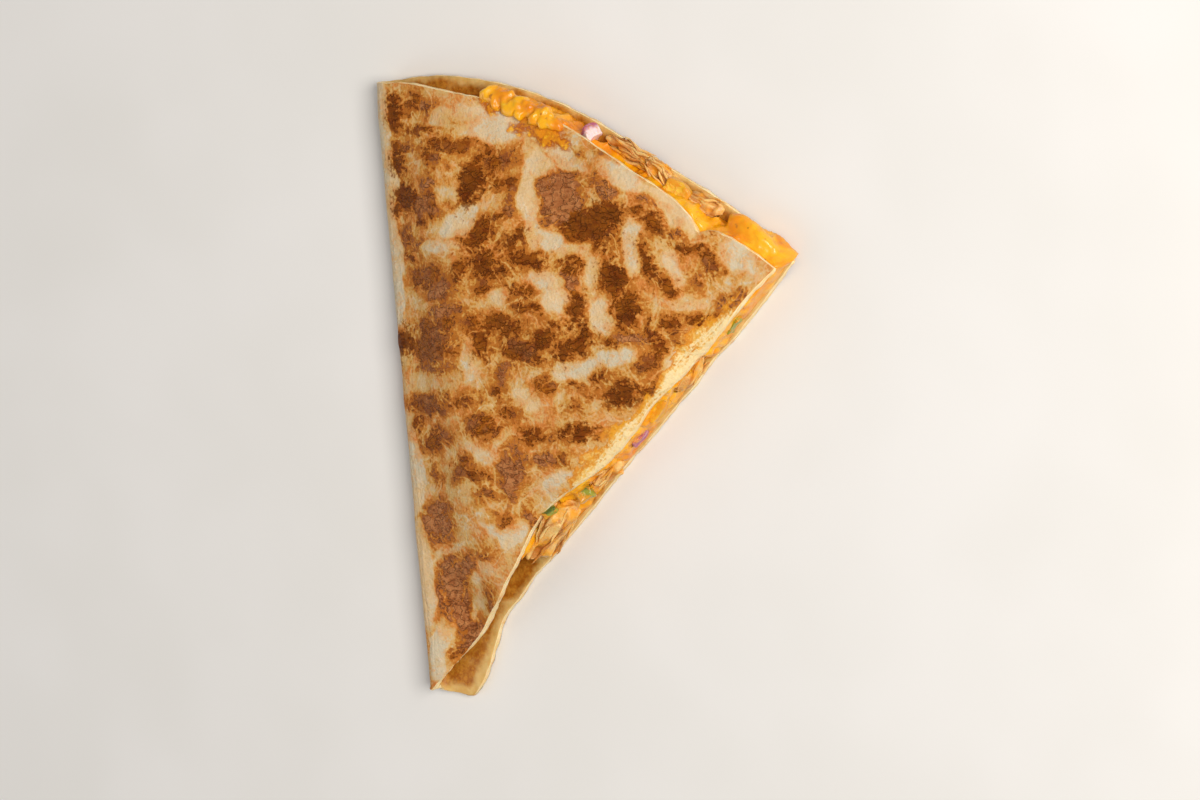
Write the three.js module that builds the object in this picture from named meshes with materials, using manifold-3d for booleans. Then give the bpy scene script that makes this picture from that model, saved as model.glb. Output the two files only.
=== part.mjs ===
// A quesadilla wedge: one end piece of a flour tortilla folded in half over melted
// cheese, chicken and chopped vegetables, griddled, and cut into four.
// Millimetres, +Z up. The fold runs along +Y from the tip, and the round edge is at the far end.

import * as THREE from "three";
import { mergeVertices } from "three/addons/utils/BufferGeometryUtils.js";
import Module from "manifold-3d";

const wasm = await Module();
wasm.setup();

// The tortilla
const TORTILLA_RADIUS = 152; // a 12-inch flour tortilla
const WEDGE_ANGLE = THREE.MathUtils.degToRad(46); // about a quarter of the half-moon
const DOUGH = 2.0;
const RIM_DOUGH = 1.3; // the rolled edge is thinner
const RIM_TAPER = 9;
const FOLD_BEND = 3.2; // bend radius at the middle of the dough
const RIM_FLAT = { share: 0.75, depth: 4.2, halfWidth: 0.34 }; // it isn't quite round
const LOWER_LIP = 2.2; // the lower layer's round edge reaches past the upper's
const LIP_START = 0.12; // radians from the fold to where the two round edges part
const RIM_WOBBLE = { depth: 0.7, length: 52, phase: 0.6, layerShift: 30 };
const RIM_CURL = { lift: 1.8, band: 12, waves: 9, fromFold: [4, 20] }; // the lower edge lifts off the table

// The cut
const RAGGED_CUT = { depth: 0.5, length: 21, phase: 2.2, layerShift: 9, fromTip: [10, 30] };
const TIP_RADIUS = 1.4; // the blunt point where the cut meets the fold,
const TIP_CLOSE = 0.68; // smaller by this share where the lower layer leaves it,
const TIP_CLOSE_SPAN = [0, 0.12]; // a short way from the fold
const LOWER_REACH = 0.4; // the lower layer reaches past the upper along the cut,
const TIP_FLAP = { reach: 7.6, fromTip: [8, 30], turn: THREE.MathUtils.degToRad(54) }; // most at the tip
const CUT_BAYS = [
  { fromTip: 63, depth: 4.8, halfWidth: 15 }, // here a piece of chicken shows from above
  { fromTip: 104, depth: 0.9, halfWidth: 10 },
];
const LIP_NICK = { share: 0.83, depth: 2.6, halfWidth: 0.028 }; // in the upper round edge, near the cut

// The swell of the filling under the upper layer
const SWELL = 8.2;
const SWELL_FROM_FOLD = 26;
const SWELL_FROM_TIP = [8, 62];
const SWELL_TO_RIM = 40;
const RIM_SWELL_SHARE = 0.42; // of the swell that is left at the round edge
const KNIFE_PRESS = { drop: 3.2, band: 9, from: [40, 72], to: [120, 140] }; // along the cut
const TIP_DROOP = { drop: 2.4, fromFold: [3, 14], fromTip: [22, 44] }; // the empty tip is pressed flatter
const LUMPS = { depth: 0.75, length: 34, phase: 0.9, fromFold: [3, 16] };
const LIP_WAVE = { depth: 1.5, band: 24, turns: 11, phase: 0.4, fromShare: [0.05, 0.3] };

// The filling
const FIT_GAP = 0.3; // clear space between neighbouring pieces
const FILL_FROM_FOLD = 4.6;
const FILL_FROM_TIP = { atFold: 54, atCut: 47, scoop: 6 };
const CUT_GRAIN = { bulge: 1.5, length: 11, phase: 1.1, heightShift: 14, recess: 0.4 };
const OOZE_GRAIN = { depth: 0.8, length: 18, phase: 0.3, heightShift: 7 };
const OOZE_BY_SHARE = [
  // share of the way from the fold to the cut, reach past the upper layer's round edge
  [0, -7],
  [0.2, -5],
  [0.29, 1],
  [0.43, 0.6],
  [0.5, -2.4],
  [0.64, -1.4],
  [0.8, 0.6],
  [0.88, 3.2],
  [1, 3.6],
];

// Grid steps
const DOUGH_STEPS = { along: 34, across: 42 };
const END_GATHER = 0.35; // how much closer the steps are at the tip and at the round edge
const FOLD_GATHER = 0.3; // and, lower being closer, at the fold
const FILLING_STEPS = { along: 28, across: 18, high: 4 };
const MORSEL_STEPS = { sides: 10, rings: 7 };

const UP = 1;
const DOWN = -1;

const smooth = ([from, to], value) => THREE.MathUtils.smoothstep(value, from, to);
const fade = (band, distance) => 1 - smooth([0, band], distance);
const bell = (offset, halfWidth) => Math.exp(-((offset / halfWidth) ** 2));

// A sum of waves in evenly turned directions, each shorter than the last, between about -1 and 1.
function undulation(x, y, { length, phase }) {
  const waves = 5;
  const shortening = 0.23;
  const phaseStep = 1.7;
  const goldenTurn = Math.PI * (3 - Math.sqrt(5));
  let sum = 0;
  for (let k = 0; k < waves; k++) {
    const heading = k * goldenTurn + phase;
    const along = x * Math.cos(heading) + y * Math.sin(heading);
    sum += Math.sin((2 * Math.PI * along * (1 + shortening * k)) / length + phaseStep * k + phase);
  }
  return sum / Math.sqrt(2 * waves);
}

// Smooth steps between the values of a short list of [place, value].
function stepped(list, at) {
  const next = Math.max(1, list.findIndex(([place]) => place >= at));
  const [[from, first], [to, last]] = [list[next - 1], list[next]];
  return first + (last - first) * smooth([from, to], at);
}

// Plan radius of the round edge at a plan angle from the fold, for one layer.
function rimRadius(layer, angle) {
  const share = angle / WEDGE_ANGLE;
  const round = TORTILLA_RADIUS - RIM_FLAT.depth * bell(share - RIM_FLAT.share, RIM_FLAT.halfWidth);
  const apart = smooth([0, LIP_START], angle);
  const arc = angle * TORTILLA_RADIUS;
  const wobble = RIM_WOBBLE.depth * undulation(arc, RIM_WOBBLE.layerShift * layer, RIM_WOBBLE);
  if (layer === DOWN) return round + apart * (wobble + LOWER_LIP);
  const nick = LIP_NICK.depth * bell(share - LIP_NICK.share, LIP_NICK.halfWidth);
  return round + apart * wobble - nick;
}

// Plan angle of the cut edge at a distance from the tip, for one layer.
function cutAngle(layer, radius) {
  const wave = undulation(radius, RAGGED_CUT.layerShift * layer, RAGGED_CUT);
  const ragged = (RAGGED_CUT.depth * wave * smooth(RAGGED_CUT.fromTip, radius)) / radius;
  if (layer === UP) {
    const bayAt = ({ fromTip, depth, halfWidth }) => depth * bell(radius - fromTip, halfWidth);
    const bays = CUT_BAYS.reduce((sum, bay) => sum + bayAt(bay), 0);
    return WEDGE_ANGLE + ragged - bays / radius;
  }
  const flap = TIP_FLAP.reach * (1 - smooth(TIP_FLAP.fromTip, radius));
  const reach = (LOWER_REACH + flap) / radius;
  return WEDGE_ANGLE + ragged + Math.asin(Math.min(Math.sin(TIP_FLAP.turn), reach));
}

// Height of the filling's swell over the folded layers at a plan point.
function swell(x, y) {
  const radius = Math.hypot(x, y);
  const angle = Math.atan2(x, y);
  const share = angle / WEDGE_ANGLE;
  const toRim = rimRadius(UP, Math.min(angle, WEDGE_ANGLE)) - radius;
  const toCut = radius * (cutAngle(UP, radius) - angle);
  const body =
    SWELL *
    smooth([0, SWELL_FROM_FOLD], x) *
    smooth(SWELL_FROM_TIP, radius) *
    (1 - (1 - RIM_SWELL_SHARE) * fade(SWELL_TO_RIM, toRim));
  const lumps = LUMPS.depth * undulation(x, y, LUMPS) * smooth(LUMPS.fromFold, x);
  const lip = LIP_WAVE.depth * fade(LIP_WAVE.band, toRim) * smooth(LIP_WAVE.fromShare, share);
  const lipWave = lip * Math.sin(share * LIP_WAVE.turns + LIP_WAVE.phase);
  const knifeLength = smooth(KNIFE_PRESS.from, radius) * (1 - smooth(KNIFE_PRESS.to, radius));
  const pressed = KNIFE_PRESS.drop * fade(KNIFE_PRESS.band, toCut) * knifeLength;
  const droop = TIP_DROOP.drop * smooth(TIP_DROOP.fromFold, x) * (1 - smooth(TIP_DROOP.fromTip, radius));
  return Math.max(0, body + lumps + lipWave - Math.min(pressed, body / 2)) - droop;
}

// A point at the middle of the dough: `along` runs from the tip to the round edge, and
// `across` from the lower layer's cut edge (-1), round the fold (0), to the upper's (1).
function doughMiddle(along, across, grow) {
  const layer = across < 0 ? DOWN : UP;
  const full = Math.hypot(1, FOLD_GATHER) - FOLD_GATHER;
  const spread = (Math.hypot(across, FOLD_GATHER) - FOLD_GATHER) / full;
  const gathered = along - (END_GATHER * Math.sin(2 * Math.PI * along)) / (2 * Math.PI);
  const blunt = layer === UP ? 1 : 1 - TIP_CLOSE * smooth(TIP_CLOSE_SPAN, spread);
  const near = blunt * (TIP_RADIUS - grow / 2);
  let radius = near + gathered * (TORTILLA_RADIUS - near);
  let angle = 0;
  for (let pass = 0; pass < 3; pass++) {
    angle = (cutAngle(layer, radius) + grow / radius) * spread;
    radius = near + gathered * (rimRadius(layer, Math.min(angle, WEDGE_ANGLE)) + grow - near);
  }
  const x = radius * Math.sin(angle);
  const y = radius * Math.cos(angle);
  const fromFold = Math.sqrt((x + FOLD_BEND) ** 2 - FOLD_BEND ** 2);
  const turn = FOLD_BEND * Math.sin(Math.min(fromFold / FOLD_BEND, Math.PI / 2));
  const foldHeight = FOLD_BEND + DOUGH / 2;
  if (layer === UP) return new THREE.Vector3(x, y, foldHeight + turn + swell(x, y));
  const curl = RIM_CURL.lift * fade(RIM_CURL.band, rimRadius(DOWN, angle) - radius);
  const uneven = (1 + Math.sin(RIM_CURL.waves * angle) ** 2) / 2;
  return new THREE.Vector3(x, y, foldHeight - turn + curl * uneven * smooth(RIM_CURL.fromFold, x));
}

// The folded sheet as a bent box, `grow` larger all round when it serves as a cutter.
function doughGeometry(grow = 0) {
  const geometry = new THREE.BoxGeometry(1, 1, 1, DOUGH_STEPS.along, DOUGH_STEPS.across, 1);
  const position = geometry.attributes.position;
  const step = 1e-3;
  for (let i = 0; i < position.count; i++) {
    const along = position.getX(i) + 0.5;
    const across = 2 * position.getY(i);
    const side = 2 * position.getZ(i);
    const ahead = doughMiddle(along + step, across, grow);
    const behind = doughMiddle(along - step, across, grow);
    const right = doughMiddle(along, across + step, grow);
    const left = doughMiddle(along, across - step, grow);
    const normal = ahead.sub(behind).cross(right.sub(left)).normalize();
    const dough = DOUGH - (DOUGH - RIM_DOUGH) * fade(RIM_TAPER, (1 - along) * TORTILLA_RADIUS);
    const point = doughMiddle(along, across, grow).addScaledVector(normal, side * (dough / 2 + grow));
    position.setXYZ(i, point.x, point.y, point.z);
  }
  return geometry;
}

// The melted filling as a bent box that runs from the fold to the cut and from the tip to the
// round edge. It reaches into both layers, which are then cut away from it.
function fillingGeometry() {
  const { along: alongSteps, across: acrossSteps, high: highSteps } = FILLING_STEPS;
  const geometry = new THREE.BoxGeometry(1, 1, 1, alongSteps, acrossSteps, highSteps);
  const position = geometry.attributes.position;
  for (let i = 0; i < position.count; i++) {
    const along = position.getX(i) + 0.5;
    const share = 0.5 - position.getY(i);
    const high = position.getZ(i) + 0.5;
    const belly = 4 * high * (1 - high);
    const arc = share * WEDGE_ANGLE * TORTILLA_RADIUS;
    const oozeGrain = undulation(arc, OOZE_GRAIN.heightShift * high, OOZE_GRAIN);
    const reach = stepped(OOZE_BY_SHARE, share) + OOZE_GRAIN.depth * oozeGrain;
    const rim = rimRadius(UP, share * WEDGE_ANGLE) + reach * (reach > 0 ? 1 - high * high : 1);
    const start = THREE.MathUtils.lerp(FILL_FROM_TIP.atFold, FILL_FROM_TIP.atCut, share);
    const scooped = start + FILL_FROM_TIP.scoop * belly * (1 - along);
    const radius = scooped + along * (rim - scooped);
    const from = Math.asin(FILL_FROM_FOLD / radius);
    const cutGrain = (1 + undulation(radius, CUT_GRAIN.heightShift * high, CUT_GRAIN)) / 2;
    const bulge = share === 1 ? CUT_GRAIN.bulge * belly * cutGrain - CUT_GRAIN.recess : 0;
    const cut = THREE.MathUtils.lerp(WEDGE_ANGLE, cutAngle(UP, radius), high) + bulge / radius;
    const angle = from + share * (cut - from);
    const x = radius * Math.sin(angle);
    const y = radius * Math.cos(angle);
    const low = DOUGH / 2;
    const top = 2 * FOLD_BEND + DOUGH / 2 + swell(x, y);
    position.setXYZ(i, x, y, low + high * (top - low));
  }
  return geometry;
}

// A morsel: an ellipsoid squared off by `square` (1 round, towards 0 a block) and roughened.
function morselGeometry([length, width, height], square, rough, seed) {
  const geometry = new THREE.SphereGeometry(1, MORSEL_STEPS.sides, MORSEL_STEPS.rings);
  const position = geometry.attributes.position;
  const poleReach = 0.9999;
  const roughness = { length: 1.9, phase: seed };
  const squared = (v) => Math.sign(v) * Math.abs(v) ** square;
  for (let i = 0; i < position.count; i++) {
    const [x, y, z] = [position.getX(i), position.getY(i), position.getZ(i)];
    const atPole = Math.abs(y) > poleReach;
    const fit = atPole ? 1 : 1 + rough * undulation(x + 2 * z, y - z, roughness);
    const across = atPole ? 0 : fit;
    position.setXYZ(
      i,
      (squared(x) * across * length) / 2,
      (squared(y) * fit * width) / 2,
      (squared(z) * across * height) / 2,
    );
  }
  return geometry;
}

// Places on the round edge and on the cut, `up` from the lower layer's inner face
function onRim(share, out, up) {
  const angle = share * WEDGE_ANGLE;
  const radius = rimRadius(UP, angle) + out;
  return new THREE.Vector3(radius * Math.sin(angle), radius * Math.cos(angle), DOUGH + FIT_GAP + up);
}

function onCut(fromTip, out, up) {
  const angle = WEDGE_ANGLE + out / fromTip;
  return new THREE.Vector3(fromTip * Math.sin(angle), fromTip * Math.cos(angle), DOUGH + FIT_GAP + up);
}

const MATERIALS = {
  tortilla: { color: 0xe2c79c, roughness: 0.75, metalness: 0 },
  cheese: { color: 0xe99a1c, roughness: 0.35, metalness: 0 },
  chicken: { color: 0xc98a45, roughness: 0.55, metalness: 0 },
  red_onion: { color: 0xc88fb4, roughness: 0.3, metalness: 0 },
  green_pepper: { color: 0x7fa52c, roughness: 0.3, metalness: 0 },
  yellow_pepper: { color: 0xe6b91e, roughness: 0.3, metalness: 0 },
};

// How each kind of piece is shaped
const DROP = { square: 0.9, rough: 0.1 };
const SHRED = { square: 0.75, rough: 0.14 };
const DICE = { square: 0.55, rough: 0.06 };

// Cheese that has run out over the upper layer's edge
const OOZE_DROPS = [
  { ...DROP, at: onRim(0.3, 0.2, 7.2), size: [8.5, 6, 5], turn: -0.2 },
  { ...DROP, at: onRim(0.355, 0, 7.4), size: [6.5, 5, 4.4], turn: -0.3 },
  { ...DROP, at: onRim(0.415, -0.4, 7.8), size: [7.5, 4.6, 4], turn: -0.35 },
  { ...DROP, at: onRim(0.92, 1, 3.4), size: [17, 7, 5.4], turn: -0.75 },
];

// The pieces of filling that show at the round edge and at the cut, numbered within each kind
const MORSELS = {
  chicken: [
    { ...SHRED, at: onRim(0.6, 0.6, 1.8), size: [16, 4.2, 3.6], turn: -0.62, tilt: 0.05 },
    { ...SHRED, at: onRim(0.69, 0.4, 3), size: [13, 4.8, 4.4], turn: -0.9, tilt: 0.12 },
    { ...SHRED, at: onRim(0.79, 0.6, 2.4), size: [12, 5.4, 4.6], turn: -0.35, tilt: -0.08 },
    { ...SHRED, at: onCut(58.5, -3.2, 5.4), size: [21, 9.4, 8.6], turn: 0.8, tilt: -0.04 },
    { ...SHRED, at: onCut(80, -2.2, 4.4), size: [10.5, 7.4, 6.2], turn: 0.6, tilt: 0.1 },
    { ...SHRED, at: onCut(114, -2.4, 3.6), size: [16, 7.4, 6.2], turn: 0.84, tilt: -0.06 },
  ],
  red_onion: [
    { ...DICE, at: onRim(0.515, 0.5, 5), size: [4.2, 3.6, 3.6], turn: 0.4, tilt: 0.5 },
    { ...DICE, at: onCut(92, -1.4, 3.8), size: [5.8, 3.8, 3.2], turn: 0.9, tilt: 0.35 },
  ],
  green_pepper: [
    { ...DICE, at: onCut(64, -5.2, 9.8), size: [4.6, 3.4, 2.8], turn: 0.3, tilt: 0.2 },
    { ...DICE, at: onCut(72, -1.5, 6), size: [4.4, 3.6, 3.4], turn: 0.5, tilt: 0.3 },
    { ...DICE, at: onCut(131, -1, 4), size: [6.2, 3.4, 2.8], turn: 0.7, tilt: -0.3 },
  ],
  yellow_pepper: [
    { ...DICE, at: onCut(102, -1, 5.6), size: [7.2, 3.8, 3.4], turn: 0.95, tilt: 0.1 },
    { ...DICE, at: onRim(0.735, 0.2, 4.4), size: [7.2, 4.2, 2.4], turn: -0.6, tilt: 0 },
  ],
};

// Manifold solids from three.js geometry, and back
function solidOf(geometry) {
  const bare = geometry.clone();
  bare.deleteAttribute("normal");
  bare.deleteAttribute("uv");
  const merged = mergeVertices(bare, 1e-4);
  return new wasm.Manifold(
    new wasm.Mesh({
      numProp: 3,
      vertProperties: merged.attributes.position.array,
      triVerts: new Uint32Array(merged.index.array),
    }),
  );
}

function geometryOf(solid) {
  const mesh = solid.getMesh();
  const geometry = new THREE.BufferGeometry();
  geometry.setAttribute("position", new THREE.BufferAttribute(mesh.vertProperties, 3));
  geometry.setIndex(new THREE.BufferAttribute(mesh.triVerts, 1));
  geometry.computeVertexNormals();
  return geometry;
}

const largestBody = (solid) => solid.decompose().sort((a, b) => b.volume() - a.volume())[0];

// A morsel's solid in its place, `grow` larger all round when it serves as a cutter
function morselSolid({ at, size, square, rough, turn, tilt = 0 }, seed, grow = 0) {
  const grown = size.map((side) => side + 2 * grow);
  const geometry = morselGeometry(grown, square, rough, seed);
  const pose = new THREE.Matrix4().makeRotationFromEuler(new THREE.Euler(0, tilt, turn, "ZYX"));
  geometry.applyMatrix4(pose.setPosition(at));
  return solidOf(geometry);
}

function addPiece(group, name, geometry, kind) {
  const mesh = new THREE.Mesh(geometry, new THREE.MeshStandardMaterial({ name: kind, ...MATERIALS[kind] }));
  mesh.name = name;
  group.add(mesh);
}

// Cut every piece of filling clear of the dough, and the cheese clear of the morsels in it
const wedge = new THREE.Group();
addPiece(wedge, "tortilla", doughGeometry(), "tortilla");

const doughCutter = solidOf(doughGeometry(FIT_GAP));
let cheese = solidOf(fillingGeometry());
OOZE_DROPS.forEach((drop, seed) => {
  cheese = cheese.add(morselSolid(drop, seed));
});
cheese = cheese.subtract(doughCutter);

let neighbours = doughCutter;
let seed = 0;
for (const [kind, morsels] of Object.entries(MORSELS)) {
  morsels.forEach((morsel, index) => {
    const solid = morselSolid(morsel, seed).subtract(neighbours);
    const clearance = morselSolid(morsel, seed, FIT_GAP);
    neighbours = neighbours.add(clearance);
    cheese = cheese.subtract(clearance);
    addPiece(wedge, `${kind}_${index + 1}`, geometryOf(largestBody(solid)), kind);
    seed += 1;
  });
}
addPiece(wedge, "cheese_filling", geometryOf(largestBody(cheese)), "cheese");

// The origin is at the middle of the wedge's footprint, on the table
const box = new THREE.Box3().setFromObject(wedge, true);
const centre = box.getCenter(new THREE.Vector3());
wedge.position.set(-centre.x, -centre.y, -box.min.z);

const quesadilla = new THREE.Group();
quesadilla.add(wedge);

export default quesadilla;
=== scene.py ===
"""A quesadilla wedge: a griddled flour tortilla folded over melted cheese, chicken and vegetables.

Places and sizes are in millimetres. A place is given from the wedge's tip: x is the distance
from the fold, y the distance along it, and z the height above the table.
"""

import math
import random

import bmesh
import bpy
import numpy as np
from mathutils import Matrix, Vector, noise
from mathutils.bvhtree import BVHTree
from mathutils.kdtree import KDTree


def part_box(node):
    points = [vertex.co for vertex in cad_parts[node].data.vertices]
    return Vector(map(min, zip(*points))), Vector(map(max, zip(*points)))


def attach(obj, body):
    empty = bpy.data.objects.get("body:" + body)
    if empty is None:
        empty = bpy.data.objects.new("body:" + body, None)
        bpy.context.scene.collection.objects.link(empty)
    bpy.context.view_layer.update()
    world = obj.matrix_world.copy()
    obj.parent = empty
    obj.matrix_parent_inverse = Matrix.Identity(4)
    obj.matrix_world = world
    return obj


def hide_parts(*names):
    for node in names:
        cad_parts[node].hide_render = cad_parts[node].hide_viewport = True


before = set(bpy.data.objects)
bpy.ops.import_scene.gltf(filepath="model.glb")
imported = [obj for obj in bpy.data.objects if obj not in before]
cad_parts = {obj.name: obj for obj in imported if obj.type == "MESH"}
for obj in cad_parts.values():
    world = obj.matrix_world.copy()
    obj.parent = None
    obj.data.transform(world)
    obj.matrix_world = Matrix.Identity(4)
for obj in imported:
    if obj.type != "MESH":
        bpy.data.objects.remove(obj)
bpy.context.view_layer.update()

MM = 0.001
MERGE = 0.005 * MM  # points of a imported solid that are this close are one

DOUGH = 2.0  # thickness of the tortilla
ROUND_EDGE = 152.85  # the round edge's furthest reach along the fold
CUT_HEADING = math.radians(46)  # from the fold to the cut
CRUMB_EDGE = math.radians(50)  # an edge of the dough is sharper than this
FURROW_HEADING = math.radians(-8)  # the fine furrows of the crust, from across the fold
FIT_GAP = 0.3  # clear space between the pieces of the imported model

tortilla_low, tortilla_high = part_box("tortilla")
TIP = np.array([tortilla_low[0] / MM + DOUGH / 2, tortilla_high[1] / MM - ROUND_EDGE, 0])

# Browned patches of the upper crust: from fold, from tip, half length, half width,
# heading in degrees from across the fold, and how dark
GRIDDLE_PATCHES = [
    (6, 145, 4.4, 2.7, 85, 0.9), (8.7, 148, 1.2, 1.0, 0, 0.7), (13.0, 147, 2.4, 1.8, 30, 0.7),
    (17, 145.5, 2.2, 1.2, 0, 0.4), (15, 140, 4.2, 0.8, -4, 0.7), (26, 142, 3.0, 1.4, 10, 0.3),
    (24, 136, 5.2, 1.6, 0, 0.7), (10.7, 136.4, 2.6, 0.9, 0, 0.5), (6, 133, 3.2, 2.8, 90, 0.9),
    (17.7, 132.3, 2.2, 1.2, 110, 0.7), (21.0, 133, 1.8, 1.3, 0, 0.5), (8.2, 123.7, 4.6, 3.6, 30, 0.9),
    (16, 122.5, 6.0, 2.8, -8, 0.5), (16, 119, 2.4, 1.0, 10, 0.8), (18.5, 128, 3.4, 1.1, 0, 0.3),
    (29.7, 127, 4.8, 3.1, 70, 1.1), (31.5, 132, 1.6, 1.0, 60, 0.7), (38, 132, 3.4, 2.2, 10, 0.6),
    (38.8, 126.3, 3.2, 1.4, -15, 0.7), (41, 123, 2.8, 1.4, 90, 0.5), (35, 134.6, 0.9, 0.7, 0, 0.8),
    (32, 114.4, 5.2, 3.4, 20, 0.8), (36.5, 118, 2.0, 1.1, 20, 0.7), (42.5, 113.8, 4.2, 2.5, 15, 0.8),
    (54, 123, 7.2, 5.8, -50, 0.4), (61, 116.4, 8.6, 4.6, -22, 0.8), (66, 119.2, 4.8, 2.6, 0, 1.1),
    (52, 126.4, 2.6, 1.8, 30, 0.5), (8, 115, 1.5, 1.0, 0, 0.6), (12, 112.8, 2.2, 0.9, 10, 0.5),
    (8, 112.8, 1.4, 0.8, 0, 0.6), (9, 109.3, 2.2, 0.7, -6, 0.9), (14, 105, 4.6, 2.6, 10, 0.6),
    (19.5, 102, 4.4, 2.2, 15, 0.4), (25, 106, 3.0, 1.6, 30, 0.8), (33.3, 107.7, 5.0, 3.3, 0, 0.8),
    (32, 103, 2.2, 1.6, 60, 0.7), (38, 105, 2.6, 1.2, 10, 0.9), (46.5, 108.6, 5.0, 2.0, -4, 0.8),
    (42.7, 101.5, 2.8, 1.2, -15, 0.7), (45, 97, 3.6, 1.2, -28, 0.7), (56, 104, 2.8, 1.9, 90, 0.4),
    (57.3, 107.7, 2.2, 1.2, -10, 0.8), (57, 96.5, 5.2, 2.3, 85, 0.9), (37, 93, 4.8, 2.4, 0, 0.8),
    (27, 94, 2.2, 1.4, 30, 0.7), (52, 93, 2.0, 1.2, 0, 0.8), (42, 87, 6.4, 3.0, -8, 0.7),
    (30, 89, 3.4, 2.8, 60, 0.8), (53.5, 87, 3.2, 2.3, 60, 0.9), (58, 89.3, 3.2, 2.6, 20, 0.9),
    (3.2, 88.4, 2.9, 2.3, 0, 1.4), (14.5, 88, 8.0, 3.8, 8, 0.6), (16, 93, 7.0, 1.8, 8, 0.6),
    (33, 77, 1.7, 1.2, 20, 0.7), (47, 79, 2.4, 1.4, 30, 0.6), (57.5, 78, 3.2, 1.0, -10, 0.7),
    (67, 124, 2.4, 1.4, -20, 0.3), (75, 118.5, 1.2, 0.9, 0, 0.7), (78, 120.4, 2.2, 1.3, -20, 0.3),
    (79.5, 115, 3.4, 2.2, 120, 0.8), (84.4, 114, 2.2, 1.5, 0, 0.3), (86.7, 110, 2.9, 1.3, 0, 0.9),
    (76.5, 106.8, 4.2, 1.4, 115, 0.9), (81.3, 101.7, 2.6, 1.4, -40, 0.8), (93, 106.7, 3.4, 1.9, 90, 0.7),
    (88.2, 102, 1.6, 1.0, 90, 0.6), (68, 103.7, 4.8, 3.3, 110, 0.9), (70.7, 96.5, 4.6, 3.8, 90, 0.8),
    (66, 89, 1.4, 0.9, 0, 0.9), (82, 92.6, 3.0, 1.3, 0, 0.8), (89.7, 93.6, 3.2, 1.1, 0, 0.9),
    (102.7, 98.5, 1.4, 0.9, 0, 0.7), (84.5, 88.4, 2.8, 1.6, 130, 0.6), (88, 87, 1.8, 1.5, 0, 0.5),
    (78.3, 88.7, 3.4, 1.4, 100, 0.8), (76.3, 83.5, 2.2, 1.6, 0, 0.7), (63.5, 80.6, 2.4, 1.2, -10, 0.8),
    (54.7, 73, 1.9, 1.0, 0, 0.7), (68.5, 76, 4.0, 2.3, 15, 1.1), (75, 77.5, 2.9, 1.4, 15, 0.7),
    (10.5, 73.3, 8.0, 2.5, 6, 0.6), (24.7, 75, 2.6, 1.2, 0, 0.6), (29.5, 68.5, 5.2, 2.3, -4, 0.6),
    (4.8, 68, 2.0, 1.6, 0, 0.7), (11.5, 64.4, 5.2, 2.2, 20, 0.6), (21, 58, 3.2, 1.9, 20, 0.6),
    (26, 57, 3.2, 1.2, 0, 0.7), (10.8, 56.7, 2.0, 1.4, 0, 0.6), (36, 57.5, 5.4, 3.4, 70, 0.4),
    (38.6, 45.6, 2.8, 1.3, 90, 0.5), (43, 66.4, 3.2, 1.1, 6, 0.8), (55.5, 66.8, 5.0, 1.8, -6, 1.0),
    (50.4, 60.6, 1.7, 1.2, 0, 0.7), (34.8, 72.6, 1.5, 1.0, 0, 0.6), (38.5, 71.5, 1.4, 1.0, 0, 0.6),
    (28, 52.5, 1.9, 1.3, 40, 0.6), (9.5, 43.5, 6.4, 4.4, 35, 0.3),
    (32.7, 45.6, 1.8, 1.1, 0, 0.5), (23.5, 36.8, 2.6, 1.4, 20, 0.3), (16.4, 33.4, 6.0, 1.5, 22, 0.3),
    (23, 24.7, 3.0, 1.4, 70, 0.5), (12.5, 28, 3.8, 1.0, 30, 0.2), (14, 17, 4.2, 1.6, 15, 0.4),
    (10.8, 12.4, 2.2, 1.4, 40, 0.6), (6.4, 24, 3.4, 0.8, 95, 0.3), (47.8, 66.4, 1.6, 1.1, 0, 0.6),
    (20, 97, 5.0, 1.2, 8, 0.4), (49, 90, 4.4, 2.3, 0, 0.8), (36, 82, 2.6, 1.6, 40, 0.3),
    (15, 83, 6.0, 1.2, 5, 0.4), (44, 60.5, 3.4, 1.2, 5, 0.3), (7, 18, 1.6, 1.0, 90, 0.3),
    (64.5, 131, 1.8, 1.0, 60, 0.4), (65, 127, 1.5, 1.0, 0, 0.4), (59.5, 132, 0.9, 0.7, 0, 0.5),
    (98, 97.5, 4.0, 1.0, 25, 0.2), (73, 89.5, 4.0, 1.2, -5, 0.3), (12, 31, 5.5, 3.6, 40, 0.1),
    (11, 22, 6.0, 3.4, 80, 0.1), (14.5, 15.5, 4.0, 2.2, 45, 0.2),
]

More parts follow.
